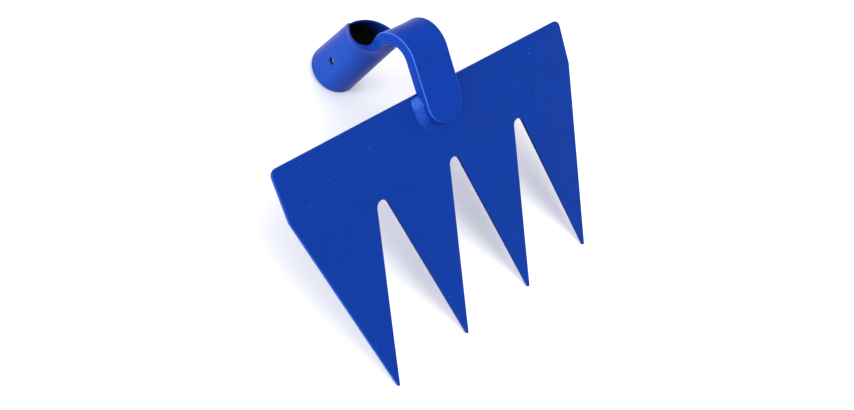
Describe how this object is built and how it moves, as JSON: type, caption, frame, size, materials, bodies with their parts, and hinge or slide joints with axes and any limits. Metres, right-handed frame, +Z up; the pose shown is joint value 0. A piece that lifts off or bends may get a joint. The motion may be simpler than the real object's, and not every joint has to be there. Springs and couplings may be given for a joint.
{
  "type": "hand cultivator head",
  "caption": "Hoe-like steel cultivator head: a flat blade cut into long pointed teeth, on a forged goose neck with a rolled handle socket.",
  "frame": {"origin": "on the floor under the middle of the head's box, as it lies on its teeth and the socket's mouth", "axes": "+X along the blade's top edge, to the right when the blade's front is seen; +Y from the teeth's tips to the socket; +Z up"},
  "size_m": [0.25, 0.215, 0.0974],
  "materials": {
    "blade_paint": "semi-gloss blue powder coat on flat steel",
    "neck_paint": "semi-gloss blue powder coat on forged steel",
    "weld_paint": "semi-gloss blue powder coat over a weld bead"
  },
  "bodies": {
    "root": {"blade": "blade_paint", "neck_socket": "neck_paint", "weld_bead": "weld_paint"}
  },
  "joints": []
}
